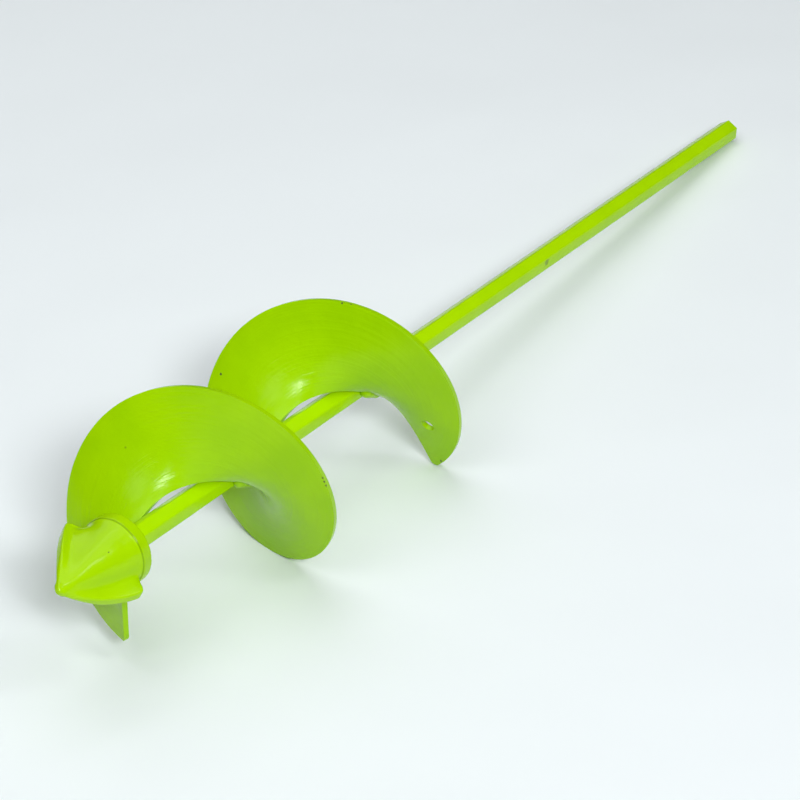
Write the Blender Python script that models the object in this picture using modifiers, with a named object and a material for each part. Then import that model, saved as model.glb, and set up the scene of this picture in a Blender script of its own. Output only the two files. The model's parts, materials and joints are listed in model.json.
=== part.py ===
"""Garden auger bit: a hexagonal drive shaft with a helical flight and a bladed cone tip.

The pieces are laid out along the tool's own axis, X, which runs from the tip to the shank.
Angles about that axis start at the flight's leading edge and grow towards the shank, the way
a right-hand screw turns. The finished tool is then laid on the floor, z = 0.
"""
import math

import bmesh
import bpy
import numpy as np
from mathutils import Matrix, Vector

# Flight: one helical plate. x = 0 is the front of its rim at the leading edge.
FLIGHT_DIAMETER = 0.080
FLIGHT_PITCH = 0.0792
FLIGHT_TURNS = 1.8875
FLIGHT_THICKNESS = 0.0020
FLIGHT_BORE_GAP = 0.00138     # from the shaft's corners to the edge of the opening around it
FLIGHT_DISH = 0.0060          # how far the inner edge leads the rim
FLIGHT_TAIL_CORNER = 0.0022   # rounding of the rear corner
FLIGHT_TAIL_OFFSET = 0.0095   # from the axis to the line of the straight cut at the rear
FLIGHT_TAIL_BLEND = math.radians(100.0)  # of the plate before the cut that is drawn back to it
FLIGHT_STEPS = 136
FLIGHT_RINGS = 5

# Punched hanging hole near the flight's trailing edge.
HOLE_DIAMETER = 0.0050
HOLE_RADIUS = 0.0280          # from the axis
HOLE_FROM_TAIL = 0.0153       # along the plate, to the rim's rear corner

# Drive shaft: hexagonal bar.
HEX_ACROSS_FLATS = 0.0080
HEX_TURN = math.radians(26.9)  # from the flight's leading edge to the nearest flat's middle
SHANK_LENGTH = 0.2620         # behind the flight's trailing edge
SHANK_CHAMFER = 0.0010

# Tip: a cone on a short collar, with one blade through it.
COLLAR_DIAMETER = 0.0253
COLLAR_LENGTH = 0.0046
COLLAR_TO_RIM = 0.0056        # from the collar's rear face to the front of the flight's rim
CONE_LENGTH = 0.0291
CONE_NOSE_RADIUS = 0.0009
CONE_SWELL = 0.0008           # how far the cone bulges at half its length
BLADE_SPAN = 0.0344           # across its rear corners
BLADE_THICKNESS = 0.0040
BLADE_POINT_THICKNESS = 0.0020
BLADE_TURN = math.radians(111.5)
BLADE_AHEAD = 0.0046          # from the collar's front to the blade's rear corners
BLADE_BELLY = 0.0022          # bulge of the blade's cutting edges
BLADE_NOSE = 0.0012           # width at the point
BLADE_TWIST = math.radians(28.0)  # of the point against the rear corners
BLADE_STATIONS = 10
SOCKET_DEPTH = 0.0120         # of the shaft in the tip

# Fits and welds.
SEAT_GAP = 0.0003             # between pieces that touch
WELD_RADIUS = 0.0021
RING_WELD_LEG = 0.0016
# Each weld of the flight to the shaft: name, where it starts and ends, degrees from the leading edge.
FLIGHT_WELDS = (
    ("weld_lead", 22.0, 52.0),
    ("weld_first_turn", 252.0, 282.0),
    ("weld_second_turn", 608.0, 642.0),
)

ROUND_STEPS = 48
SMALL_ROUND_STEPS = 24
SMOOTH_ANGLE = math.radians(35.0)
BOOLEAN_REACH = 0.0100        # how far a cutter runs past what it cuts

FULL_TURN = 2.0 * math.pi
rim_radius = FLIGHT_DIAMETER / 2
shaft_radius = HEX_ACROSS_FLATS / math.sqrt(3.0)  # over its corners
bore_radius = shaft_radius + FLIGHT_BORE_GAP
flight_length = FLIGHT_PITCH * FLIGHT_TURNS
collar_radius = COLLAR_DIAMETER / 2
collar_rear = -COLLAR_TO_RIM
collar_front = collar_rear - COLLAR_LENGTH
nose = collar_front - CONE_LENGTH
shaft_front = collar_rear - SOCKET_DEPTH
shaft_rear = flight_length + SHANK_LENGTH


def clear_scene():
    for old in list(bpy.data.objects):
        bpy.data.objects.remove(old, do_unlink=True)


def new_collection(name):
    collection = bpy.data.collections.new(name)
    bpy.context.scene.collection.children.link(collection)
    return collection


def powder_coat(name, colour, roughness, metallic=0.0):
    material = bpy.data.materials.new(name)
    material.use_nodes = True
    shader = material.node_tree.nodes["Principled BSDF"]
    shader.inputs["Base Color"].default_value = (*colour, 1.0)
    shader.inputs["Roughness"].default_value = roughness
    shader.inputs["Metallic"].default_value = metallic
    material.diffuse_color = (*colour, 1.0)
    return material


def add_object(name, mesh, collection):
    obj = bpy.data.objects.new(name, mesh)
    collection.objects.link(obj)
    return obj


def mesh_from(name, bm):
    bmesh.ops.recalc_face_normals(bm, faces=bm.faces)
    mesh = bpy.data.meshes.new(name)
    bm.to_mesh(mesh)
    bm.free()
    return mesh


def hide_cutter(obj):
    obj.hide_render = True
    obj.display_type = "WIRE"


def add_boolean(obj, other, operation):
    boolean = obj.modifiers.new(operation.title(), "BOOLEAN")
    boolean.operation = operation
    boolean.solver = "EXACT"
    boolean.object = other
    return boolean


def finish_mesh(obj):
    """Turn the object's modifiers into its own mesh and shade its round faces smooth."""
    bpy.context.view_layer.update()
    evaluated = obj.evaluated_get(bpy.context.evaluated_depsgraph_get())
    mesh = bpy.data.meshes.new_from_object(evaluated)
    obj.modifiers.clear()
    obj.data = mesh
    mesh.shade_smooth()
    mesh.set_sharp_from_angle(angle=SMOOTH_ANGLE)


def plate_point(turn, radius, lift=0.0):
    """A point of the flight's front face, lifted towards the shank along the axis."""
    x = FLIGHT_PITCH * turn / FULL_TURN - FLIGHT_DISH * (rim_radius - radius) / (rim_radius - bore_radius)
    return Vector((x + lift, radius * math.cos(turn), radius * math.sin(turn)))


def plate_normal(turn, radius):
    """The plate's unit normal, pointing towards the shank."""
    step = 0.001
    along = plate_point(turn + step, radius) - plate_point(turn - step, radius)
    outward = plate_point(turn, radius + step) - plate_point(turn, radius)
    normal = outward.cross(along).normalized()
    return normal if normal.x > 0 else -normal


def along_axis(x_start, x_end, turn=0.0):
    """Place a shape that is centred on Z so that it runs from x_start to x_end on the tool's axis."""
    middle = Matrix.Translation(((x_start + x_end) / 2, 0.0, 0.0))
    return middle @ Matrix.Rotation(turn, 4, "X") @ Matrix.Rotation(math.pi / 2, 4, "Y")


def hex_bar(name, across_flats, x_start, x_end, collection):
    bm = bmesh.new()
    corner_radius = across_flats / math.sqrt(3.0)
    bmesh.ops.create_cone(bm, cap_ends=True, segments=6, radius1=corner_radius, radius2=corner_radius,
                          depth=x_end - x_start, matrix=along_axis(x_start, x_end))
    corners = [math.atan2(vert.co.z, vert.co.y) for vert in bm.verts]
    flat_turn = corners[0] + math.pi / 6
    bmesh.ops.rotate(bm, verts=bm.verts, cent=(0.0, 0.0, 0.0),
                     matrix=Matrix.Rotation(HEX_TURN - flat_turn, 3, "X"))
    return add_object(name, mesh_from(name, bm), collection)


def make_shaft(collection):
    shaft = hex_bar("drive_shaft", HEX_ACROSS_FLATS, shaft_front, shaft_rear, collection)
    bm = bmesh.new()
    bm.from_mesh(shaft.data)
    middle = (shaft_front + shaft_rear) / 2
    end_edges = [edge for edge in bm.edges if all(vert.co.x > middle for vert in edge.verts)]
    bmesh.ops.bevel(bm, geom=end_edges, offset=SHANK_CHAMFER, segments=2, profile=0.6, affect="EDGES")
    shaft.data = mesh_from("drive_shaft", bm)
    return shaft


def cut_tail(bm):
    """Draw the plate's rear end back along the helix to a straight cut that passes beside the axis."""
    tail = FULL_TURN * FLIGHT_TURNS
    at_rim = math.asin(FLIGHT_TAIL_OFFSET / rim_radius)
    for vert in bm.verts:
        radius = vert.co.yz.length
        inward = (rim_radius - radius) / (rim_radius - bore_radius)
        turn = (vert.co.x + FLIGHT_DISH * inward) / FLIGHT_PITCH * FULL_TURN
        share = max(0.0, 1.0 - (tail - turn) / FLIGHT_TAIL_BLEND)
        back = math.asin(FLIGHT_TAIL_OFFSET / max(radius, 1.2 * FLIGHT_TAIL_OFFSET)) - at_rim
        vert.co = plate_point(turn - back * share, radius)


def helical_plate(name, inner, outer, thickness, lead, trimmed, collection):
    """A dished helical plate; lead is how far it starts ahead of the flight and ends behind it."""
    bm = bmesh.new()
    start_turn = -lead
    turns = FLIGHT_TURNS + 2 * lead / FULL_TURN
    radii = [inner + (outer - inner) * ring / FLIGHT_RINGS for ring in range(FLIGHT_RINGS + 1)]
    verts = [bm.verts.new(plate_point(start_turn, radius)) for radius in radii]
    for first, second in zip(verts, verts[1:]):
        bm.edges.new((first, second))
    mesh = bpy.data.meshes.new(name)
    bm.to_mesh(mesh)
    bm.free()
    plate = add_object(name, mesh, collection)
    screw = plate.modifiers.new("Screw", "SCREW")
    screw.axis = "X"
    screw.angle = FULL_TURN * turns
    screw.screw_offset = FLIGHT_PITCH * turns
    screw.steps = FLIGHT_STEPS
    screw.render_steps = FLIGHT_STEPS
    screw.use_merge_vertices = False
    finish_mesh(plate)

    bm = bmesh.new()
    bm.from_mesh(plate.data)
    if trimmed:
        cut_tail(bm)
        corner = max(bm.verts, key=lambda vert: vert.co.x + vert.co.yz.length)
        bmesh.ops.bevel(bm, geom=[corner], offset=FLIGHT_TAIL_CORNER, segments=3, profile=0.5,
                        affect="VERTICES")
    plate.data = mesh_from(name, bm)
    solidify = plate.modifiers.new("Solidify", "SOLIDIFY")
    solidify.thickness = thickness
    solidify.use_even_offset = True
    front = plate.data.polygons[0].normal
    solidify.offset = -1.0 if front.x < 0 else 1.0
    finish_mesh(plate)
    return plate


def make_flight(collection, cutters):
    flight = helical_plate("flight", bore_radius, rim_radius, FLIGHT_THICKNESS, 0.0, True, collection)
    turn = FULL_TURN * FLIGHT_TURNS - HOLE_FROM_TAIL / HOLE_RADIUS
    normal = plate_normal(turn, HOLE_RADIUS)
    bm = bmesh.new()
    bmesh.ops.create_cone(bm, cap_ends=True, segments=SMALL_ROUND_STEPS, radius1=HOLE_DIAMETER / 2,
                          radius2=HOLE_DIAMETER / 2, depth=2 * BOOLEAN_REACH)
    drill = add_object("hole_drill", mesh_from("hole_drill", bm), cutters)
    drill.matrix_world = (Matrix.Translation(plate_point(turn, HOLE_RADIUS))
                          @ normal.to_track_quat("Z", "Y").to_matrix().to_4x4())
    bm = bmesh.new()
    bmesh.ops.create_cone(bm, cap_ends=True, segments=ROUND_STEPS, radius1=collar_radius + SEAT_GAP,
                          radius2=collar_radius + SEAT_GAP, depth=BOOLEAN_REACH,
                          matrix=along_axis(collar_rear + SEAT_GAP - BOOLEAN_REACH, collar_rear + SEAT_GAP))
    collar_room = add_object("collar_room", mesh_from("collar_room", bm), cutters)
    for cutter in (drill, collar_room):
        hide_cutter(cutter)
        add_boolean(flight, cutter, "DIFFERENCE")
    finish_mesh(flight)
    return flight


def turned(name, profile, collection):
    """A solid of revolution about X from a profile of (x, radius) pairs that starts and ends on the axis."""
    bm = bmesh.new()
    verts = [bm.verts.new((x, radius, 0.0)) for x, radius in profile]
    for first, second in zip(verts, verts[1:]):
        bm.edges.new((first, second))
    mesh = bpy.data.meshes.new(name)
    bm.to_mesh(mesh)
    bm.free()
    body = add_object(name, mesh, collection)
    screw = body.modifiers.new("Screw", "SCREW")
    screw.axis = "X"
    screw.angle = FULL_TURN
    screw.steps = ROUND_STEPS
    screw.render_steps = ROUND_STEPS
    screw.use_merge_vertices = True
    screw.merge_threshold = 0.00001
    finish_mesh(body)
    bm = bmesh.new()
    bm.from_mesh(body.data)
    bmesh.ops.remove_doubles(bm, verts=bm.verts, dist=0.00001)
    body.data = mesh_from(name, bm)
    return body


def blade_width(share):
    """Half the blade's width, from its point (share 0) to its rear corners (share 1)."""
    straight = BLADE_NOSE / 2 + (BLADE_SPAN - BLADE_NOSE) / 2 * share
    return straight + BLADE_BELLY * math.sin(math.pi * share) ** 0.8


def make_blade(cutters):
    """A twisted spear-shaped plate from the nose to its rear corners, which run out into the collar."""
    bm = bmesh.new()
    bmesh.ops.create_cube(bm, size=1.0)
    lengthways = [edge for edge in bm.edges if abs(edge.verts[0].co.x - edge.verts[1].co.x) > 0.5]
    bmesh.ops.subdivide_edges(bm, edges=lengthways, cuts=BLADE_STATIONS)
    rear = collar_front - BLADE_AHEAD
    for vert in bm.verts:
        station = round((vert.co.x + 0.5) * (BLADE_STATIONS + 1))
        share = min(1.0, station / BLADE_STATIONS)
        runs_out = station > BLADE_STATIONS
        x = collar_front + SEAT_GAP if runs_out else nose + (rear - nose) * share
        width = collar_radius - SEAT_GAP if runs_out else blade_width(share)
        thickness = BLADE_POINT_THICKNESS + (BLADE_THICKNESS - BLADE_POINT_THICKNESS) * min(1.0, 3 * share)
        place = Vector((x, 2 * vert.co.y * width, vert.co.z * thickness))
        vert.co = Matrix.Rotation(BLADE_TURN + BLADE_TWIST * (1 - share), 3, "X") @ place
    blade = add_object("blade", mesh_from("blade", bm), cutters)
    hide_cutter(blade)
    return blade


def make_tip(collection, cutters):
    slope = (collar_radius - CONE_NOSE_RADIUS) / CONE_LENGTH
    profile = [(nose, 0.0), (nose + CONE_NOSE_RADIUS * 0.3, CONE_NOSE_RADIUS),
               (collar_front - CONE_LENGTH / 2, collar_radius - slope * CONE_LENGTH / 2 + CONE_SWELL),
               (collar_front, collar_radius), (collar_rear, collar_radius), (collar_rear, 0.0)]
    tip = turned("pilot_tip", profile, collection)
    add_boolean(tip, make_blade(cutters), "UNION")

    socket = hex_bar("socket", HEX_ACROSS_FLATS + 2 * SEAT_GAP, shaft_front - SEAT_GAP,
                     collar_rear + BOOLEAN_REACH, cutters)
    hide_cutter(socket)
    add_boolean(tip, socket, "DIFFERENCE")
    finish_mesh(tip)
    return tip


def make_ring_weld(collection, cutters):
    """Fillet weld around the shaft against the collar's rear face."""
    front = collar_rear + SEAT_GAP
    outer = bore_radius - 2 * SEAT_GAP
    inner = outer - RING_WELD_LEG
    profile = [(front, 0.0), (front, outer), (front + RING_WELD_LEG * 0.5, outer - RING_WELD_LEG * 0.3),
               (front + RING_WELD_LEG, inner), (front + RING_WELD_LEG, 0.0)]
    weld = turned("weld_tip", profile, collection)
    channel = hex_bar("weld_channel", HEX_ACROSS_FLATS + 2 * SEAT_GAP, shaft_front,
                      collar_rear + BOOLEAN_REACH, cutters)
    hide_cutter(channel)
    add_boolean(weld, channel, "DIFFERENCE")
    finish_mesh(weld)
    return weld


def make_flight_weld(name, start, end, clearance_bar, clearance_plate, collection):
    """A short bead between the flight's inner edge and the shaft."""
    curve = bpy.data.curves.new(name, "CURVE")
    curve.dimensions = "3D"
    curve.bevel_depth = WELD_RADIUS
    curve.bevel_resolution = 2
    curve.use_fill_caps = True
    spline = curve.splines.new("POLY")
    bead_radius = (bore_radius + HEX_ACROSS_FLATS / 2) / 2
    count = 9
    spline.points.add(count - 1)
    for index in range(count):
        turn = math.radians(start + (end - start) * index / (count - 1))
        point = plate_point(turn, bead_radius, FLIGHT_THICKNESS / 2)
        spline.points[index].co = (*point, 1.0)
        ease = math.sin(math.pi * (index + 0.5) / count)
        spline.points[index].radius = 0.7 + 0.3 * ease
    path = add_object(name + "_path", curve, collection)
    bpy.context.view_layer.update()
    mesh = bpy.data.meshes.new_from_object(path.evaluated_get(bpy.context.evaluated_depsgraph_get()))
    bpy.data.objects.remove(path, do_unlink=True)
    bm = bmesh.new()
    bm.from_mesh(mesh)
    bmesh.ops.remove_doubles(bm, verts=bm.verts, dist=0.00001)
    weld = add_object(name, mesh_from(name, bm), collection)
    add_boolean(weld, clearance_bar, "DIFFERENCE")
    add_boolean(weld, clearance_plate, "DIFFERENCE")
    finish_mesh(weld)
    return weld


def points_of(obj):
    verts = obj.data.vertices
    flat = np.empty(len(verts) * 3)
    verts.foreach_get("co", flat)
    return flat.reshape(-1, 3)


def resting_matrix(shaft, flight, pieces):
    """Lay the tool on z = 0: on the flight's rear corner, its rim and the shank's end."""
    every = np.vstack([points_of(piece) for piece in pieces])
    rim = points_of(flight)
    rim = rim[np.hypot(rim[:, 1], rim[:, 2]) > rim_radius - FLIGHT_TAIL_CORNER]
    bar = points_of(shaft)
    ends = bar[bar[:, 0] > shaft_rear - 2 * SHANK_CHAMFER]
    tail_turn = FULL_TURN * FLIGHT_TURNS
    tail = rim[rim[:, 0] > plate_point(tail_turn - 0.15, rim_radius).x]
    body = rim[rim[:, 0] <= plate_point(tail_turn - FULL_TURN / 4, rim_radius).x]
    best = None
    for corner in tail:
        for end in ends:
            spine = end - corner
            normals = np.cross(spine, body - corner)
            normals /= np.linalg.norm(normals, axis=1)[:, None]
            heights = (every - corner) @ normals.T
            lowest = np.maximum(heights.min(axis=0), -heights.max(axis=0))
            pick = int(lowest.argmax())
            if best is None or lowest[pick] > best[0]:
                sign = 1.0 if heights[:, pick].max() > -heights[:, pick].min() else -1.0
                best = (lowest[pick], sign * normals[pick], corner)
    up = Vector(best[1])
    forward = (Vector((1.0, 0.0, 0.0)) - up * up.x).normalized()
    turn = Matrix((forward, up.cross(forward), up)).to_4x4()
    placed = every @ np.array(turn.to_3x3()).T
    low = placed.min(axis=0)
    high = placed.max(axis=0)
    shift = Matrix.Translation((-(low[0] + high[0]) / 2, -(low[1] + high[1]) / 2, -low[2]))
    return shift @ turn


def main():
    clear_scene()
    parts = new_collection("garden_auger")
    cutters = new_collection("cutters")

    shaft = make_shaft(parts)
    flight = make_flight(parts, cutters)
    tip = make_tip(parts, cutters)
    pieces = [shaft, flight, tip, make_ring_weld(parts, cutters)]

    bar_room = hex_bar("bar_room", HEX_ACROSS_FLATS + 2 * SEAT_GAP, shaft_front, shaft_rear, cutters)
    plate_room = helical_plate("plate_room", bore_radius - SEAT_GAP, rim_radius,
                               FLIGHT_THICKNESS + 2 * SEAT_GAP, 0.05, False, cutters)
    plate_room.location.x = -SEAT_GAP
    for cutter in (bar_room, plate_room):
        hide_cutter(cutter)
    for name, start, end in FLIGHT_WELDS:
        pieces.append(make_flight_weld(name, start, end, bar_room, plate_room, parts))

    finishes = {
        "drive_shaft": powder_coat("shaft_green", (0.34, 0.60, 0.004), 0.34),
        "flight": powder_coat("flight_green", (0.33, 0.60, 0.004), 0.28),
        "pilot_tip": powder_coat("tip_green", (0.35, 0.62, 0.004), 0.30),
    }
    weld_finish = powder_coat("weld_green", (0.32, 0.58, 0.004), 0.36)
    rest = bpy.data.objects.new("tool_axis", None)
    parts.objects.link(rest)
    rest.matrix_world = resting_matrix(shaft, flight, pieces)
    for piece in pieces:
        piece.data.materials.clear()
        piece.data.materials.append(finishes.get(piece.name, weld_finish))
        piece.parent = rest


main()
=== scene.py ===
import json
import math

import bpy
from mathutils import Matrix, Vector, noise


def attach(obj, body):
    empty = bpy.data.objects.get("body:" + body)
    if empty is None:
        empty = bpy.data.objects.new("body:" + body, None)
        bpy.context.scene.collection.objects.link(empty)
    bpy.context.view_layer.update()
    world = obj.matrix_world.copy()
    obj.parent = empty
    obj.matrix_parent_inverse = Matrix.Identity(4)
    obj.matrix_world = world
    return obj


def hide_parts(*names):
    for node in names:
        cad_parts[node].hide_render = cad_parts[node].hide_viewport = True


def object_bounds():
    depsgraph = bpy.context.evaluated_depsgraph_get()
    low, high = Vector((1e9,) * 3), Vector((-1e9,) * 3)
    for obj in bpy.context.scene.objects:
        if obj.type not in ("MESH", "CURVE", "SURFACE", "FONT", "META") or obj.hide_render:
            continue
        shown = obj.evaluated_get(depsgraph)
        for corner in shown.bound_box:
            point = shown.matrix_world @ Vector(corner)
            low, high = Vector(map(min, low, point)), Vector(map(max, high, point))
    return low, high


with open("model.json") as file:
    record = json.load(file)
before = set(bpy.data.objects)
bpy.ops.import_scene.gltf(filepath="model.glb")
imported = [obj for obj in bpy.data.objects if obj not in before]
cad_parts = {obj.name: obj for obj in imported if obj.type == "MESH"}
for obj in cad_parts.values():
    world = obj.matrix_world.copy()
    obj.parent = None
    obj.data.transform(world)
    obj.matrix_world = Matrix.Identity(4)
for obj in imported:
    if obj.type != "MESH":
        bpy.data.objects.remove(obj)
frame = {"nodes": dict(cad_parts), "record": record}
cadLow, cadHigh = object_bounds()
print("frame loaded:", sorted(frame["nodes"]))


# the tool's own axis, read from the frame: pieces are made along X, from tip to shank,
# with angles about X that start at the flight's leading edge, and then laid where the CAD lies
toolValues = {
    "pitch": 0.0792,
    "turns": 1.8875,
    "shankLength": 0.2620,
    "lowCornerTurn": math.radians(356.9),  # the corner of the shank that lies lowest
    "endReach": 0.02,
}

wholeTurn = 2 * math.pi
shankEnd = toolValues["pitch"] * toolValues["turns"] + toolValues["shankLength"]


def toolPlace():
    mounts = {mount["name"]: mount for mount in frame["record"]["mounts"]}
    rear = Vector(mounts["shank_end"]["pos_m"])
    along = Vector(mounts["shank_end"]["axis"]).normalized()
    near = [vert.co.copy() for vert in frame["nodes"]["drive_shaft"].data.vertices
            if (vert.co - rear).length < toolValues["endReach"]]
    lowest = min(near, key=lambda corner: corner.z) - rear
    outward = (lowest - along * lowest.dot(along)).normalized()
    zeroTurn = Matrix.Rotation(-toolValues["lowCornerTurn"], 3, along) @ outward
    turned = Matrix((along, zeroTurn, along.cross(zeroTurn))).transposed().to_4x4()
    origin = rear - along * shankEnd
    return Matrix.Translation(origin) @ turned


toolFrame = toolPlace()
print("tool's axis found, shank end at", round(shankEnd, 4))


def deselectAll():
    if bpy.context.object and bpy.context.object.mode != "OBJECT":
        bpy.ops.object.mode_set(mode="OBJECT")
    bpy.ops.object.select_all(action="DESELECT")


def makeActive(piece):
    deselectAll()
    piece.select_set(True)
    bpy.context.view_layer.objects.active = piece


def applyModifiers(piece):
    makeActive(piece)
    for modifier in list(piece.modifiers):
        bpy.ops.object.modifier_apply(modifier=modifier.name)


def addModifier(piece, kind, **values):
    modifier = piece.modifiers.new(kind.title(), kind)
    for key, value in values.items():
        setattr(modifier, key, value)
    return modifier


def selectParts(piece, mode, wanted):
    makeActive(piece)
    bpy.ops.object.mode_set(mode="EDIT")
    bpy.ops.mesh.select_mode(type=mode)
    bpy.ops.mesh.select_all(action="DESELECT")
    bpy.ops.object.mode_set(mode="OBJECT")
    parts = {"VERT": piece.data.vertices, "EDGE": piece.data.edges, "FACE": piece.data.polygons}[mode]
    for part in parts:
        part.select = bool(wanted(part))
    bpy.ops.object.mode_set(mode="EDIT")


def leaveEdit():
    bpy.ops.object.mode_set(mode="OBJECT")


def longEdges(piece, least):
    verts = piece.data.vertices
    return lambda edge: abs(verts[edge.vertices[0]].co.x - verts[edge.vertices[1]].co.x) > least


def alongX(start, end):
    return {"location": ((start + end) / 2, 0.0, 0.0), "rotation": (0.0, math.pi / 2, 0.0)}


def aroundAxis(along, turn, radius):
    return Vector((along, radius * math.cos(math.radians(turn)), radius * math.sin(math.radians(turn))))


def bakePlace(piece):
    makeActive(piece)
    bpy.ops.object.transform_apply(location=True, rotation=True, scale=True)


def roughen(piece, height, size, seed):
    mesh = piece.data
    offset = Vector((seed * 1.7, seed * 0.3, seed * 2.1))
    normals = [vert.normal.copy() for vert in mesh.vertices]
    for vert, normal in zip(mesh.vertices, normals):
        vert.co += normal * noise.noise(vert.co / size + offset) * height
    mesh.update()


def layDown(piece, name, nodes, material, smoothAngle=35.0):
    piece.name = name
    piece.data.name = name
    piece.data.transform(toolFrame)
    piece.matrix_world = Matrix.Identity(4)
    makeActive(piece)
    bpy.ops.object.shade_smooth_by_angle(angle=math.radians(smoothAngle))
    piece.data.materials.clear()
    piece.data.materials.append(material)
    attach(piece, "root")
    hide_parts(*nodes)
    print("made", name, len(piece.data.polygons), "faces")
    return piece


# the coat: a green for each piece, one paint made lighter on the shaft and darker on the flight and tip as
# painted light and shade; fine orange peel, a few dark specks, chips where it was knocked
coatColoursWithShade = {
    "flight": {"light": (0.315, 0.585, 0.0), "deep": (0.285, 0.550, 0.0), "seed": 1.0},
    "shaft": {"light": (0.375, 0.660, 0.0), "deep": (0.350, 0.635, 0.0), "seed": 4.0},
    "tip": {"light": (0.345, 0.610, 0.0), "deep": (0.315, 0.575, 0.0), "seed": 7.0},
    "weld": {"light": (0.330, 0.600, 0.0), "deep": (0.270, 0.520, 0.0), "seed": 9.0},
}

coatValues = {
    "roughness": 0.18,
    "roughnessSpread": 0.10,
    "glossScale": 140.0,
    "refraction": 1.27,
    "specularTint": (0.95, 1.0, 0.90, 1.0),
    "cloudScale": 55.0,
    "cloudRange": (0.3, 0.7),
    "peelScale": 620.0,
    "peelDepth": 0.000070,
    "waveScale": 124.0,
    "waveDepth": 0.000175,
    "speckScale": 190.0,
    "speckSize": 0.045,
    "speckLeast": 0.93,  # a cell's random value must pass this for a speck
    "speckStrength": 0.55,
    "speckColour": (0.10, 0.17, 0.01, 1.0),
    "chipColour": (0.055, 0.075, 0.03, 1.0),
    "chipDepth": 0.00012,
    "chipEdge": (1.9, 1.55),
    "raggedScale": 900.0,
    "raggedShare": 1.6,
    # a groove where cone meets collar, with painted shade: the green is darkened along it
    "seamWidth": 0.00028,
    "seamDepth": 0.00010,
    "seamShadeStrength": 0.6,
    "seamShadeColour": (0.12, 0.25, 0.0, 1.0),
    # lines left by forming: how fine along the plate, how fine across it, and how deep
    "sheetBands": ((16.0, 420.0, 1.0), (28.0, 900.0, 0.7), (60.0, 2000.0, 0.3)),
}


class Tree:
    def __init__(self, material):
        self.nodes = material.node_tree.nodes
        self.links = material.node_tree.links

    def add(self, kind, inputs=None, **values):
        node = self.nodes.new(kind)
        for key, value in values.items():
            setattr(node, key, value)
        for key, value in (inputs or {}).items():
            self.plug(node.inputs[key], value)
        return node

    def plug(self, socket, value):
        if isinstance(value, bpy.types.NodeSocket):
            self.links.new(value, socket)
        else:
            socket.default_value = value

    def maths(self, operation, first, second=0.0, third=0.0):
        inputs = {0: first, 1: second, 2: third}
        return self.add("ShaderNodeMath", inputs, operation=operation).outputs[0]

    def ramp(self, value, low, high):
        node = self.add("ShaderNodeMapRange", {"Value": value, "From Min": low, "From Max": high},
                        interpolation_type="SMOOTHSTEP")
        return node.outputs["Result"]

    def mix(self, share, first, second):
        node = self.add("ShaderNodeMix", data_type="RGBA")
        self.plug(node.inputs[0], share)
        self.plug(node.inputs[6], first)
        self.plug(node.inputs[7], second)
        return node.outputs[2]


def addPeel(tree, place, speck):
    v = coatValues
    peel = tree.add("ShaderNodeTexNoise", {"Vector": place, "Scale": v["peelScale"], "Detail": 2.0,
                                           "Roughness": 0.45})
    height = tree.maths("MULTIPLY", peel.outputs["Fac"], v["peelDepth"])
    waves = tree.add("ShaderNodeTexNoise", {"Vector": place, "Scale": v["waveScale"], "Detail": 1.0})
    height = tree.maths("MULTIPLY_ADD", waves.outputs["Fac"], v["waveDepth"], height)
    return tree.maths("MULTIPLY_ADD", speck, v["peelDepth"], height)


def addSheetLines(tree, height, lineDepth):
    sheet = tree.add("ShaderNodeUVMap", uv_map="sheet").outputs["UV"]
    for along, across, depth in coatValues["sheetBands"]:
        stretched = tree.add("ShaderNodeMapping", {"Vector": sheet, "Scale": (along, across, 1.0)})
        lines = tree.add("ShaderNodeTexNoise", {"Vector": stretched.outputs["Vector"], "Scale": 1.0,
                                                "Detail": 3.0, "Roughness": 0.6})
        height = tree.maths("MULTIPLY_ADD", lines.outputs["Fac"], lineDepth * depth, height)
    return height


def addChip(tree, chip, raw, place, colour, height):
    v = coatValues
    centre = toolFrame @ chip["place"]
    apart = tree.add("ShaderNodeVectorMath", {0: raw, 1: tuple(centre)}, operation="DISTANCE")
    ragged = tree.add("ShaderNodeTexNoise", {"Vector": place, "Scale": v["raggedScale"], "Detail": 2.0})
    reach = chip["size"] * v["raggedShare"]
    away = tree.maths("MULTIPLY_ADD", ragged.outputs["Fac"], reach, apart.outputs["Value"])
    bare = tree.ramp(away, chip["size"] * v["chipEdge"][0], chip["size"] * v["chipEdge"][1])
    colour = tree.mix(tree.maths("MULTIPLY", bare, chip["strength"]), colour, v["chipColour"])
    return colour, tree.maths("MULTIPLY_ADD", bare, -v["chipDepth"], height)


# bumps in a thin groove where cone meets collar and darkens the green along it as painted shade
def addSeam(tree, seamAt, raw, colour, height):
    v = coatValues
    axis = toolFrame.to_3x3().col[0]
    along = tree.add("ShaderNodeVectorMath", {0: raw, 1: tuple(axis)}, operation="DOT_PRODUCT")
    level = axis.dot(toolFrame @ Vector((seamAt, 0.0, 0.0)))
    away = tree.maths("ABSOLUTE", tree.maths("SUBTRACT", along.outputs["Value"], level))
    seam = tree.ramp(away, v["seamWidth"], v["seamWidth"] * 0.4)
    colour = tree.mix(tree.maths("MULTIPLY", seam, v["seamShadeStrength"]), colour, v["seamShadeColour"])
    return colour, tree.maths("MULTIPLY_ADD", seam, -v["seamDepth"], height)


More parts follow.
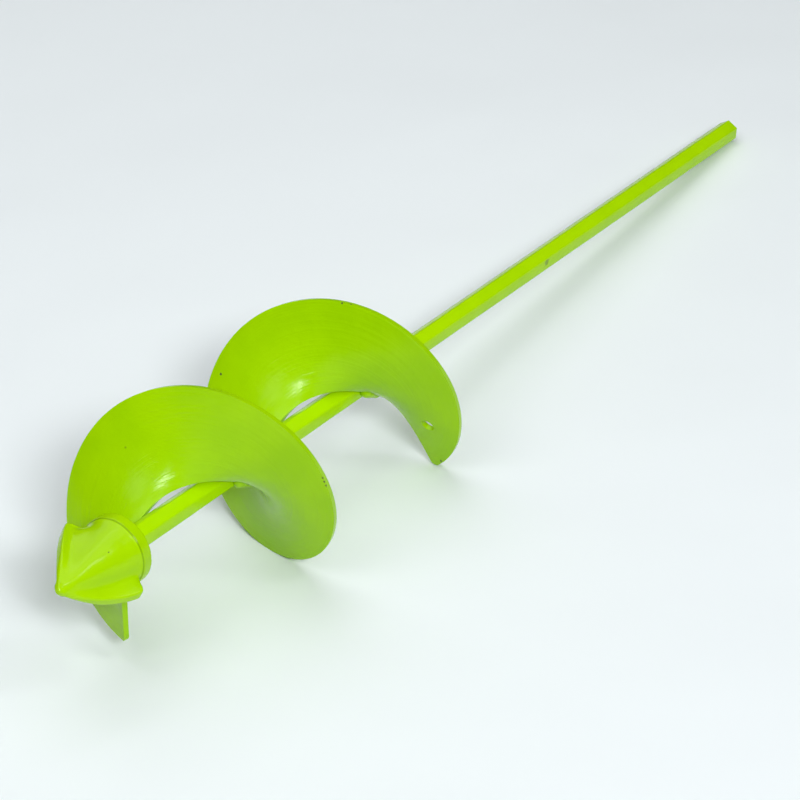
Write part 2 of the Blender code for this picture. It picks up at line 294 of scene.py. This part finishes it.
def powderCoat(name, kind, sheetLines=0.0, chips=(), seamAt=None):
    # each piece's green carries painted light and shade for how light falls on that piece
    colours = coatColoursWithShade[kind]
    v = coatValues
    material = bpy.data.materials.new(name)
    material.use_nodes = True
    tree = Tree(material)
    shader = tree.nodes["Principled BSDF"]
    raw = tree.add("ShaderNodeTexCoord").outputs["Object"]
    shifted = tree.add("ShaderNodeMapping", {"Vector": raw, "Location": (colours["seed"],) * 3})
    place = shifted.outputs["Vector"]

    cloud = tree.add("ShaderNodeTexNoise", {"Vector": place, "Scale": v["cloudScale"], "Detail": 3.0})
    share = tree.ramp(cloud.outputs["Fac"], *v["cloudRange"])
    colour = tree.mix(share, (*colours["deep"], 1.0), (*colours["light"], 1.0))

    cells = tree.add("ShaderNodeTexVoronoi", {"Vector": place, "Scale": v["speckScale"]})
    tint = tree.add("ShaderNodeSeparateColor", {"Color": cells.outputs["Color"]})
    few = tree.maths("GREATER_THAN", tint.outputs[0], v["speckLeast"])
    speck = tree.ramp(cells.outputs["Distance"], v["speckSize"] * 2.2, v["speckSize"])
    speck = tree.maths("MULTIPLY", speck, few)
    speck = tree.maths("MULTIPLY", speck, v["speckStrength"])
    colour = tree.mix(speck, colour, v["speckColour"])

    height = addPeel(tree, place, speck)
    if sheetLines:
        height = addSheetLines(tree, height, sheetLines)
    for chip in chips:
        colour, height = addChip(tree, chip, raw, place, colour, height)
    if seamAt is not None:
        colour, height = addSeam(tree, seamAt, raw, colour, height)

    bump = tree.add("ShaderNodeBump", {"Height": height, "Strength": 1.0, "Distance": 1.0})
    gloss = tree.add("ShaderNodeTexNoise", {"Vector": place, "Scale": v["glossScale"], "Detail": 2.0})
    rough = tree.maths("MULTIPLY_ADD", gloss.outputs["Fac"], v["roughnessSpread"],
                       v["roughness"] - v["roughnessSpread"] / 2)
    tree.plug(shader.inputs["Normal"], bump.outputs["Normal"])
    tree.plug(shader.inputs["Base Color"], colour)
    tree.plug(shader.inputs["Roughness"], rough)
    shader.inputs["Specular Tint"].default_value = v["specularTint"]
    shader.inputs["IOR"].default_value = v["refraction"]
    print("mixed", name)
    return material


# the flight: a plate wound into a screw, dished towards the tip, with rounded ends and one hole
flightValues = {
    "rimRadius": 0.03998,
    "boreRadius": 0.0060,
    "dish": 0.0060,
    "thickness": 0.0020,
    "tailOffset": 0.0095,
    "tailBlend": math.radians(100.0),
    "tailCorner": 0.0026,
    "leadCorner": 0.0005,
    "steps": 430,
    "rings": 26,
    "edgeRound": 0.00068,
    "holeDiameter": 0.0050,
    "holeRadius": 0.0280,
    "holeFromTail": 0.0153,
    "holeSides": 40,
    "punchLength": 0.012,
    "mapRadius": 0.020,  # where the plate's own map is true to length
    "sheetLines": 0.00017,
    "waveHeight": 0.00016,
    "waveSize": 0.022,
}

def flightPoint(turn, radius):
    v = flightValues
    inward = (v["rimRadius"] - radius) / (v["rimRadius"] - v["boreRadius"])
    x = toolValues["pitch"] * turn / wholeTurn - v["dish"] * inward
    return Vector((x, radius * math.cos(turn), radius * math.sin(turn)))


def flightChip(turn, radius, size, strength, behind=0.0):
    place = flightPoint(math.radians(turn), radius) + Vector((behind, 0.0, 0.0))
    return {"place": place, "size": size, "strength": strength}


# knocks in the coat, by the turn in degrees, the radius, the size and how dark they are
flightChips = (
    flightChip(458.4, 0.0362, 0.00045, 0.9),
    flightChip(249.5, 0.0399, 0.0004, 0.85),
    flightChip(251.6, 0.0398, 0.0005, 0.8),
    flightChip(254.0, 0.0399, 0.0004, 0.7),
    flightChip(539.6, 0.0397, 0.0004, 0.9),
    flightChip(543.7, 0.0400, 0.0004, 0.9, behind=0.0004),
    flightChip(670.6, 0.0392, 0.0006, 0.7),
)


# how far a rounded corner cuts the plate's end back at a radius, as a turn
def cornerBack(radius, corner):
    over = radius - (flightValues["rimRadius"] - corner)
    if over <= 0.0:
        return 0.0
    return (corner - math.sqrt(max(0.0, corner ** 2 - over ** 2))) / radius


# the turns near both ends are drawn in, so that the plate ends along its slanted, rounded edges
def endedTurn(turn, radius):
    v = flightValues
    tail = wholeTurn * toolValues["turns"]
    atRim = math.asin(v["tailOffset"] / v["rimRadius"])
    back = math.asin(v["tailOffset"] / max(radius, 1.2 * v["tailOffset"])) - atRim
    back += cornerBack(radius, v["tailCorner"])
    fromTail = max(0.0, 1.0 - (tail - turn) / v["tailBlend"])
    fromLead = max(0.0, 1.0 - turn / v["tailBlend"])
    return turn - back * fromTail + cornerBack(radius, v["leadCorner"]) * fromLead


def makeFlight():
    v = flightValues
    deselectAll()
    bpy.ops.mesh.primitive_grid_add(x_subdivisions=v["rings"], y_subdivisions=1, size=1.0)
    plate = bpy.context.object
    selectParts(plate, "VERT", lambda vert: vert.co.y > 0)
    bpy.ops.mesh.delete(type="VERT")
    leaveEdit()
    for vert in plate.data.vertices:
        radius = v["boreRadius"] + (v["rimRadius"] - v["boreRadius"]) * (vert.co.x + 0.5)
        vert.co = flightPoint(0.0, radius)
    turns = toolValues["turns"]
    addModifier(plate, "SCREW", axis="X", angle=wholeTurn * turns, screw_offset=toolValues["pitch"] * turns,
                steps=v["steps"], render_steps=v["steps"], use_merge_vertices=False)
    applyModifiers(plate)

    sheet = plate.data.uv_layers.new(name="sheet")
    places = []
    for vert in plate.data.vertices:
        radius = vert.co.yz.length
        inward = (v["rimRadius"] - radius) / (v["rimRadius"] - v["boreRadius"])
        wound = (vert.co.x + v["dish"] * inward) / toolValues["pitch"] * wholeTurn
        turn = endedTurn(wound, radius)
        places.append((turn * v["mapRadius"], radius))
        vert.co = flightPoint(turn, radius)
    for loop in plate.data.loops:
        sheet.data[loop.index].uv = places[loop.vertex_index]

    makeActive(plate)
    bpy.ops.object.mode_set(mode="EDIT")
    bpy.ops.mesh.select_all(action="SELECT")
    bpy.ops.mesh.normals_make_consistent(inside=False)
    leaveEdit()
    roughen(plate, v["waveHeight"], v["waveSize"], 3)
    facesFront = plate.data.polygons[0].normal.x < 0
    addModifier(plate, "SOLIDIFY", thickness=v["thickness"], offset=-1.0 if facesFront else 1.0,
                use_even_offset=True)
    applyModifiers(plate)
    punchHole(plate)
    addModifier(plate, "BEVEL", width=v["edgeRound"], segments=3, limit_method="ANGLE",
                angle_limit=math.radians(50.0), profile=0.6, use_clamp_overlap=True)
    applyModifiers(plate)
    return layDown(plate, "flightPlate", ["flight"],
                   powderCoat("flightCoat", "flight", sheetLines=v["sheetLines"], chips=flightChips))


def punchHole(plate):
    v = flightValues
    turn = wholeTurn * toolValues["turns"] - v["holeFromTail"] / v["holeRadius"]
    centre = flightPoint(turn, v["holeRadius"])
    along = flightPoint(turn + 0.01, v["holeRadius"]) - flightPoint(turn - 0.01, v["holeRadius"])
    outward = flightPoint(turn, v["holeRadius"] + 0.001) - centre
    normal = outward.cross(along).normalized()
    deselectAll()
    bpy.ops.mesh.primitive_cylinder_add(vertices=v["holeSides"], radius=v["holeDiameter"] / 2,
                                        depth=v["punchLength"], location=centre,
                                        rotation=normal.to_track_quat("Z", "Y").to_euler())
    punch = bpy.context.object
    bakePlace(punch)
    cut = addModifier(plate, "BOOLEAN", object=punch, operation="DIFFERENCE", solver="EXACT")
    makeActive(plate)
    bpy.ops.object.modifier_apply(modifier=cut.name)
    bpy.data.objects.remove(punch)


# the drive shaft: a hexagonal bar that starts inside the tip and ends in a chamfer
shaftValues = {
    "acrossFlats": 0.0080,
    "turn": math.radians(26.9),
    "front": -0.0170,
    "edgeRound": 0.00055,
    "chamfer": 0.0011,
    "cuts": 180,
    "longEdge": 0.1,
    "waveHeight": 0.00005,
    "waveSize": 0.014,
}

shaftChips = (
    {"place": aroundAxis(shankEnd - 0.1529, 254.6, 0.00415), "size": 0.0012, "strength": 0.5},
)


def makeShaft():
    v = shaftValues
    deselectAll()
    bpy.ops.mesh.primitive_cylinder_add(vertices=6, radius=v["acrossFlats"] / math.sqrt(3),
                                        depth=shankEnd - v["front"], **alongX(v["front"], shankEnd))
    shaft = bpy.context.object
    bakePlace(shaft)
    first = shaft.data.vertices[0].co
    turn = v["turn"] - math.pi / 6 - math.atan2(first.z, first.y)
    shaft.data.transform(Matrix.Rotation(turn, 4, "X"))
    verts = shaft.data.vertices
    selectParts(shaft, "EDGE", lambda edge: all(verts[i].co.x > shankEnd - 0.001 for i in edge.vertices))
    bpy.ops.mesh.bevel(offset=v["chamfer"], segments=4, profile=0.55)
    leaveEdit()
    selectParts(shaft, "EDGE", longEdges(shaft, v["longEdge"]))
    bpy.ops.mesh.bevel(offset=v["edgeRound"], segments=3, profile=0.5)
    leaveEdit()
    selectParts(shaft, "EDGE", longEdges(shaft, v["longEdge"]))
    bpy.ops.mesh.subdivide(number_cuts=v["cuts"])
    leaveEdit()
    roughen(shaft, v["waveHeight"], v["waveSize"], 5)
    return layDown(shaft, "driveShaft", ["drive_shaft"],
                   powderCoat("shaftCoat", "shaft", chips=shaftChips), smoothAngle=25.0)


# the tip: a cone on a collar, and a twisted blade through it, grown together as one casting
tipValues = {
    "collarRadius": 0.01265,
    "coneRadius": 0.01205,
    "collarRear": -0.0056,
    "collarLength": 0.0046,
    "collarStep": 0.0006,
    "coneSides": 240,
    "coneCuts": 24,
    "coneLength": 0.0291,
    "noseRadius": 0.0009,
    "swell": 0.0008,
    "seamBehind": 0.0004,
    "bladeSpan": 0.0344,
    "bladeThickness": 0.0040,
    "bladePoint": 0.0024,
    "bladeTurn": math.radians(111.5),
    "bladeAhead": 0.0046,
    "bladeBelly": 0.0022,
    "bladeNose": 0.0012,
    "bladeTwist": math.radians(28.0),
    "bladeRound": 0.0019,
    "bladeProud": 0.0007,
    "bladeCuts": 40,
    "grain": 0.00030,
    "softening": 5,
    "filletSoftening": 260,
    "filletReach": 0.0042,
    "filletShift": 0.0004,
    "waveHeight": 0.00012,
    "waveSize": 0.006,
}

coneBase = tipValues["collarRear"] - tipValues["collarLength"]
coneNose = coneBase - tipValues["coneLength"]

tipChips = (
    {"place": aroundAxis(coneBase - 0.0095, 214.5, 0.00935), "size": 0.00035, "strength": 0.9},
)


# the leading side of each blade half is filled up to a flat face that meets the cone
def flankGrowth(place, share, radius):
    v = tipValues
    alongBlade = share * v["coneLength"] / (v["coneLength"] - v["bladeAhead"])
    bladeShare = min(1.0, alongBlade)
    reach = bladeWidth(bladeShare) - v["bladeProud"]
    if alongBlade > 1.0:
        pastBlade = (share - 1.0) * v["coneLength"] + v["bladeAhead"]
        reach += (radius - reach) * pastBlade / v["bladeAhead"]
    if reach <= radius:
        return 1.0
    turn = math.atan2(place.z, place.y) - v["bladeTurn"] - v["bladeTwist"] * (1 - bladeShare)
    turn = turn % math.pi
    touch = math.acos(radius / reach)
    return 1.0 / math.cos(touch - turn) if turn < touch else 1.0


def makeCone():
    v = tipValues
    step = v["collarStep"]
    deselectAll()
    bpy.ops.mesh.primitive_cone_add(vertices=v["coneSides"], radius1=v["noseRadius"],
                                    radius2=v["coneRadius"], depth=v["coneLength"],
                                    **alongX(coneNose, coneBase))
    cone = bpy.context.object
    bakePlace(cone)
    selectParts(cone, "FACE", lambda face: face.normal.x > 0.9)
    grow = v["collarRadius"] / v["coneRadius"]
    bpy.ops.mesh.extrude_region_move(TRANSFORM_OT_translate={"value": (step, 0.0, 0.0)})
    bpy.ops.transform.resize(value=(1.0, grow, grow))
    straight = (v["collarLength"] - step, 0.0, 0.0)
    bpy.ops.mesh.extrude_region_move(TRANSFORM_OT_translate={"value": straight})
    leaveEdit()
    selectParts(cone, "EDGE", longEdges(cone, v["coneLength"] / 2))
    bpy.ops.mesh.subdivide(number_cuts=v["coneCuts"])
    leaveEdit()
    for vert in cone.data.vertices:
        share = (vert.co.x - coneNose) / v["coneLength"]
        if 0.001 < share < 0.999:
            radius = vert.co.yz.length
            swollen = radius + v["swell"] * math.sin(math.pi * share)
            vert.co.yz *= swollen * flankGrowth(vert.co, share, swollen) / radius
    return cone


def bladeWidth(share):
    v = tipValues
    straight = v["bladeNose"] / 2 + (v["bladeSpan"] - v["bladeNose"]) / 2 * share
    return straight + v["bladeBelly"] * math.sin(math.pi * share) ** 0.65


def makeBlade():
    v = tipValues
    rear = coneBase - v["bladeAhead"]
    deselectAll()
    bpy.ops.mesh.primitive_cube_add(size=1.0)
    blade = bpy.context.object
    selectParts(blade, "EDGE", longEdges(blade, 0.5))
    bpy.ops.mesh.subdivide(number_cuts=v["bladeCuts"])
    leaveEdit()
    for vert in blade.data.vertices:
        station = round((vert.co.x + 0.5) * (v["bladeCuts"] + 1))
        share = min(1.0, station / v["bladeCuts"])
        runsOut = station > v["bladeCuts"]
        x = coneBase if runsOut else coneNose + (rear - coneNose) * share
        width = v["coneRadius"] - 0.0005 if runsOut else bladeWidth(share)
        thickness = v["bladePoint"] + (v["bladeThickness"] - v["bladePoint"]) * min(1.0, 3 * share)
        place = Vector((x, 2 * vert.co.y * width, vert.co.z * thickness))
        vert.co = Matrix.Rotation(v["bladeTurn"] + v["bladeTwist"] * (1 - share), 3, "X") @ place
    addModifier(blade, "BEVEL", width=v["bladeRound"], segments=5, limit_method="ANGLE",
                angle_limit=math.radians(50.0), use_clamp_overlap=True)
    applyModifiers(blade)
    return blade


# how much a point belongs to the fillet between cone and blade: near both surfaces at once
def filletWeight(place):
    v = tipValues
    share = (place.x - coneBase + v["coneLength"]) / v["coneLength"]
    if not 0.05 < share < 1.0:
        return 0.0
    straight = v["noseRadius"] + (v["coneRadius"] - v["noseRadius"]) * share
    over = place.yz.length - straight - v["swell"] * math.sin(math.pi * share)
    flat = Matrix.Rotation(-(v["bladeTurn"] + v["bladeTwist"] * (1 - share)), 3, "X") @ place
    beside = abs(flat.z) - v["bladeThickness"] / 2
    nearCone = max(0.0, 1.0 - abs(over - v["filletShift"]) / v["filletReach"])
    nearBlade = max(0.0, 1.0 - abs(beside - v["filletShift"]) / v["filletReach"])
    return nearCone * nearBlade


def makeTip():
    v = tipValues
    tip = makeCone()
    blade = makeBlade()
    makeActive(tip)
    blade.select_set(True)
    bpy.ops.object.join()
    addModifier(tip, "REMESH", mode="VOXEL", voxel_size=v["grain"])
    applyModifiers(tip)
    group = tip.vertex_groups.new(name="fillet")
    for vert in tip.data.vertices:
        weight = filletWeight(vert.co)
        if weight > 0:
            group.add([vert.index], weight, "REPLACE")
    addModifier(tip, "SMOOTH", factor=0.5, iterations=v["filletSoftening"], vertex_group="fillet")
    applyModifiers(tip)
    addModifier(tip, "SMOOTH", factor=0.5, iterations=v["softening"])
    applyModifiers(tip)
    tip.vertex_groups.clear()
    roughen(tip, v["waveHeight"], v["waveSize"], 11)
    coat = powderCoat("tipCoat", "tip", chips=tipChips, seamAt=coneBase + v["seamBehind"])
    return layDown(tip, "pilotTip", ["pilot_tip"], coat, smoothAngle=60.0)


# the welds: beads of overlapping blobs between plate and bar, and a ring behind the tip
weldValues = {
    "radius": 0.0026,
    "step": math.radians(7.0),
    "bead": 0.0056,
    "grain": 0.00025,
    "softening": 4,
    "waveHeight": 0.00022,
    "waveSize": 0.0022,
    # name, node, and the turns in degrees where a bead starts and ends
    "beads": (
        ("weldLead", "weld_lead", 22.0, 52.0),
        ("weldFirstTurn", "weld_first_turn", 266.0, 300.0),
        ("weldSecondTurn", "weld_second_turn", 620.0, 660.0),
    ),
    "ringRadius": 0.0046,
    "ringLeg": 0.0010,
    "ringBehind": 0.0004,
}


def beadFrom(blobs, seed):
    v = weldValues
    deselectAll()
    for blob in blobs:
        blob.select_set(True)
    bpy.context.view_layer.objects.active = blobs[0]
    bpy.ops.object.join()
    bead = bpy.context.object
    addModifier(bead, "REMESH", mode="VOXEL", voxel_size=v["grain"])
    addModifier(bead, "SMOOTH", factor=0.5, iterations=v["softening"])
    applyModifiers(bead)
    roughen(bead, v["waveHeight"], v["waveSize"], seed)
    return bead


def makeWelds(material):
    v = weldValues
    for seed, (name, node, start, end) in enumerate(v["beads"]):
        count = round(math.radians(end - start) / v["step"]) + 1
        blobs = []
        for index in range(count):
            share = index / (count - 1)
            turn = math.radians(start + (end - start) * share)
            centre = flightPoint(turn, v["bead"]) + Vector((flightValues["thickness"] / 2, 0.0, 0.0))
            deselectAll()
            swell = 0.85 + 0.15 * math.sin(math.pi * share) + 0.06 * math.sin(5.0 * index + seed)
            radius = v["radius"] * swell
            bpy.ops.mesh.primitive_ico_sphere_add(subdivisions=3, radius=radius, location=centre)
            blobs.append(bpy.context.object)
        for blob in blobs:
            bakePlace(blob)
        bead = beadFrom(blobs, 20 + seed)
        layDown(bead, name, [node], material, smoothAngle=70.0)


def makeRingWeld(material):
    v = weldValues
    deselectAll()
    centre = (tipValues["collarRear"] + v["ringBehind"], 0.0, 0.0)
    bpy.ops.mesh.primitive_torus_add(major_radius=v["ringRadius"], minor_radius=v["ringLeg"],
                                     major_segments=72, minor_segments=16, location=centre,
                                     rotation=(0.0, math.pi / 2, 0.0))
    ring = bpy.context.object
    bakePlace(ring)
    ring = beadFrom([ring], 31)
    layDown(ring, "weldTip", ["weld_tip"], material, smoothAngle=70.0)


# the stage: a pale paper floor, and a faint light from all round
stageValues = {
    "size": 8.0,
    "colour": (0.80, 0.855, 0.875, 1.0),
    "roughness": 0.75,
    "foldScale": 6.0,
    "foldDepth": 0.004,
    "worldColour": (0.93, 0.97, 1.0, 1.0),
    "worldStrength": 0.02,
}

# soft boxes that face the tool: azimuth and elevation in degrees, power in watts
softBoxes = (
    {"name": "keyBox", "azimuth": -118.0, "elevation": 46.0, "distance": 2.4,
     "size": (1.6, 1.0), "power": 5.5},
    {"name": "glintBox", "azimuth": -132.0, "elevation": 34.0, "distance": 2.4,
     "size": (0.62, 0.34), "power": 35.0},
    {"name": "sideBox", "azimuth": -92.0, "elevation": 52.0, "distance": 2.4,
     "size": (0.42, 0.42), "power": 6.0},
    {"name": "leftBox", "azimuth": 172.0, "elevation": 50.0, "distance": 2.4,
     "size": (1.3, 1.0), "power": 9.5},
    {"name": "topBox", "azimuth": -120.0, "elevation": 84.0, "distance": 1.5,
     "size": (1.1, 1.1), "power": 6.0},
    {"name": "backBox", "azimuth": 75.0, "elevation": 62.0, "distance": 1.0,
     "size": (0.9, 0.9), "power": 3.3},
)

# the camera looks along this azimuth, down by this elevation, from this distance to its target
cameraValues = {
    "target": (-0.0086, 0.0124, 0.0),
    "azimuth": 35.01,
    "elevation": 31.77,
    "roll": -4.45,
    "distance": 1.3319,
    "lens": 162.28,
}


def makeFloor():
    v = stageValues
    deselectAll()
    bpy.ops.mesh.primitive_plane_add(size=v["size"], location=(0.0, 0.0, cadLow.z))
    floor = bpy.context.object
    floor.name = "paperFloor"
    material = bpy.data.materials.new("paper")
    material.use_nodes = True
    tree = Tree(material)
    shader = tree.nodes["Principled BSDF"]
    shader.inputs["Roughness"].default_value = v["roughness"]
    shader.inputs["Base Color"].default_value = v["colour"]
    place = tree.add("ShaderNodeTexCoord").outputs["Object"]
    folds = tree.add("ShaderNodeTexNoise", {"Vector": place, "Scale": v["foldScale"], "Detail": 3.0,
                                            "Roughness": 0.4})
    bump = tree.add("ShaderNodeBump", {"Height": folds.outputs["Fac"], "Strength": 1.0,
                                       "Distance": v["foldDepth"]})
    tree.plug(shader.inputs["Normal"], bump.outputs["Normal"])
    floor.data.materials.append(material)
    print("floor laid")


def direction(azimuth, elevation):
    a, e = math.radians(azimuth), math.radians(elevation)
    return Vector((math.cos(a) * math.cos(e), math.sin(a) * math.cos(e), math.sin(e)))


def makeLights():
    aim = (cadLow + cadHigh) / 2
    for box in softBoxes:
        light = bpy.data.lights.new(box["name"], "AREA")
        light.shape = "RECTANGLE"
        light.size, light.size_y = box["size"]
        light.energy = box["power"]
        holder = bpy.data.objects.new(box["name"], light)
        bpy.context.scene.collection.objects.link(holder)
        towards = direction(box["azimuth"], box["elevation"])
        holder.location = aim + towards * box["distance"]
        holder.rotation_euler = towards.to_track_quat("Z", "Y").to_euler()
    world = bpy.data.worlds.new("studio")
    bpy.context.scene.world = world
    world.use_nodes = True
    background = world.node_tree.nodes["Background"]
    background.inputs["Color"].default_value = stageValues["worldColour"]
    background.inputs["Strength"].default_value = stageValues["worldStrength"]
    print("lights hung:", len(softBoxes))


def makeCamera():
    v = cameraValues
    lens = bpy.data.cameras.new("viewCamera")
    lens.lens = v["lens"]
    lens.sensor_width = 36.0
    camera = bpy.data.objects.new("viewCamera", lens)
    bpy.context.scene.collection.objects.link(camera)
    back = -direction(v["azimuth"], -v["elevation"])
    camera.location = Vector(v["target"]) + back * v["distance"]
    level = back.to_track_quat("Z", "Y").to_matrix()
    camera.rotation_euler = (level @ Matrix.Rotation(math.radians(v["roll"]), 3, "Z")).to_euler()
    bpy.context.scene.camera = camera
    bpy.context.scene.view_settings.view_transform = "Standard"
    print("camera set")


makeFlight()
makeShaft()
makeTip()
weldCoat = powderCoat("weldCoat", "weld")
makeWelds(weldCoat)
makeRingWeld(weldCoat)
makeFloor()
makeLights()
makeCamera()
